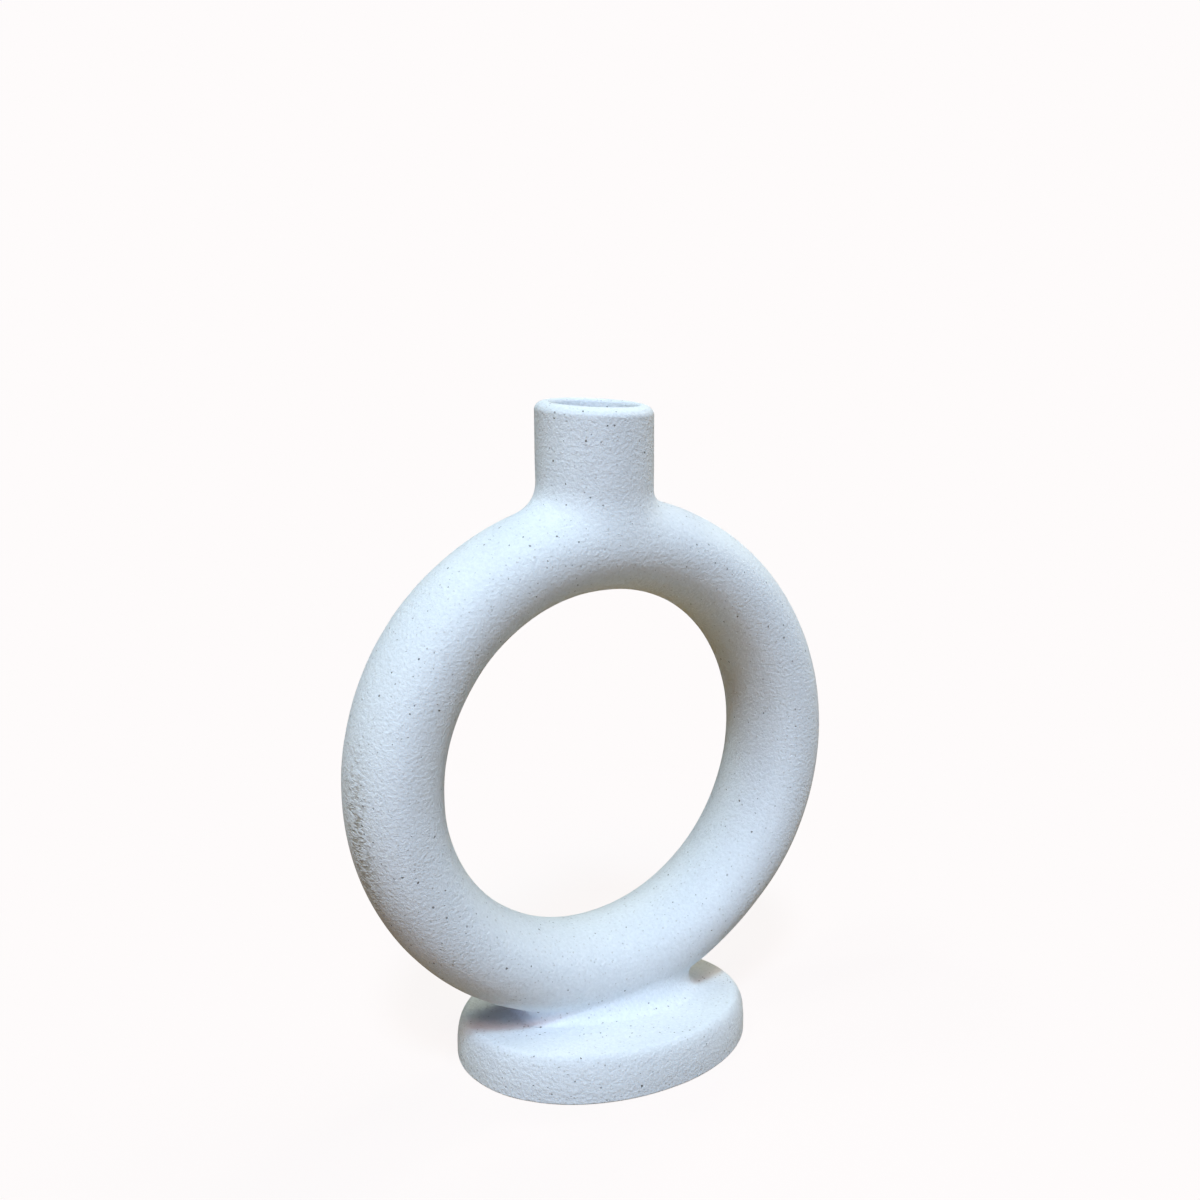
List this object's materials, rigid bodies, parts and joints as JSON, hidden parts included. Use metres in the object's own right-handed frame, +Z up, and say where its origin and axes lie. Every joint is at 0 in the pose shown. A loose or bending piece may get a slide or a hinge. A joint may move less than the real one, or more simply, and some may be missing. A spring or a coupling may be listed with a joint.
{
  "type": "donut vase",
  "caption": "Hollow ring vase of speckled white stoneware with a short round neck on top, standing on a low oval foot, for a few stems or dried flowers.",
  "frame": {"origin": "middle of the face that the foot stands on", "axes": "+Z up through the neck, X along the ring, +Y through the ring to its back; the ring's axis is parallel to Y"},
  "size_m": [0.1932, 0.0964, 0.2406],
  "materials": {
    "ring_clay": "matte, sandy, with fine dark specks",
    "neck_clay": "matte, sandy, with fine dark specks",
    "foot_clay": "matte, sandy, with fine dark specks",
    "joint_clay": "matte, sandy, smoothed with a sponge"
  },
  "bodies": {
    "root": {"ring_front_half": "ring_clay", "ring_back_half": "ring_clay", "neck_collar": "neck_clay", "neck_joint_coil": "joint_clay", "foot_disc": "foot_clay", "foot_joint_coil": "joint_clay"}
  },
  "joints": []
}
